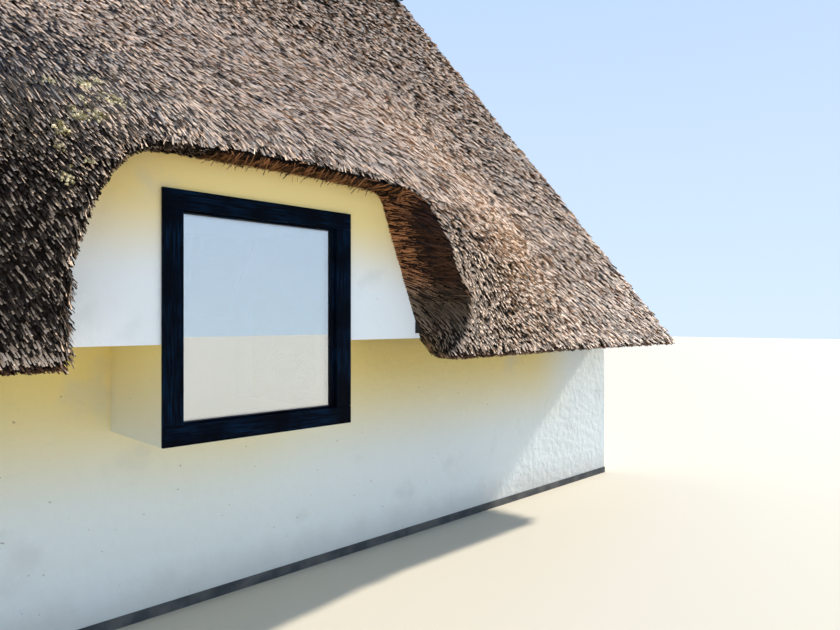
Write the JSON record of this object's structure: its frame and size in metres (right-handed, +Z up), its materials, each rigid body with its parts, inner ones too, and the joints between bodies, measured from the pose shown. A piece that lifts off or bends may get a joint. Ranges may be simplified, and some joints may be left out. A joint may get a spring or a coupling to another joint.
{
  "type": "thatched cottage",
  "caption": "Low whitewashed cottage with a steep thatched roof, lifted like an eyebrow over a dark-framed box window in a rendered dormer face.",
  "frame": {"origin": "centre of the house on the ground", "axes": "+X along the front wall to the right, +Y into the house from its front, +Z up"},
  "size_m": [8.848, 8.9972, 6.4085],
  "materials": {
    "render": "smooth white limewashed render",
    "plinth": "dark grey coated plinth",
    "floor": "plain screed",
    "thatch": "weathered water reed",
    "ridge": "weathered thatched ridge",
    "timber": "sawn softwood",
    "frame": "dark blue-black painted wood",
    "glass": "clear double glazing",
    "door": "dark painted boards",
    "handle": "satin"
  },
  "bodies": {
    "root": {"collar_beam_1": "timber", "collar_beam_2": "timber", "collar_beam_3": "timber", "collar_beam_4": "timber", "door_frame": "frame", "door_handle": "handle", "door_leaf": "door", "door_threshold": "plinth", "dormer_face_back": "render", "dormer_face_front": "render", "floor_slab": "floor", "plinth": "plinth", "rafter_back_1": "timber", "rafter_back_2": "timber", "rafter_back_3": "timber", "rafter_back_4": "timber", "rafter_front_1": "timber", "rafter_front_2": "timber", "rafter_front_3": "timber", "rafter_front_4": "timber", "ridge_beam": "timber", "thatch_back": "thatch", "thatch_front": "thatch", "thatch_ridge": "ridge", "wall_back": "render", "wall_front": "render", "wall_gable_left": "render", "wall_gable_right": "render", "window_box_back": "render", "window_box_front": "render", "window_frame_back": "frame", "window_frame_front": "frame", "window_frame_right": "frame", "window_glass_back": "glass", "window_glass_front": "glass", "window_glass_right": "glass"}
  },
  "joints": []
}
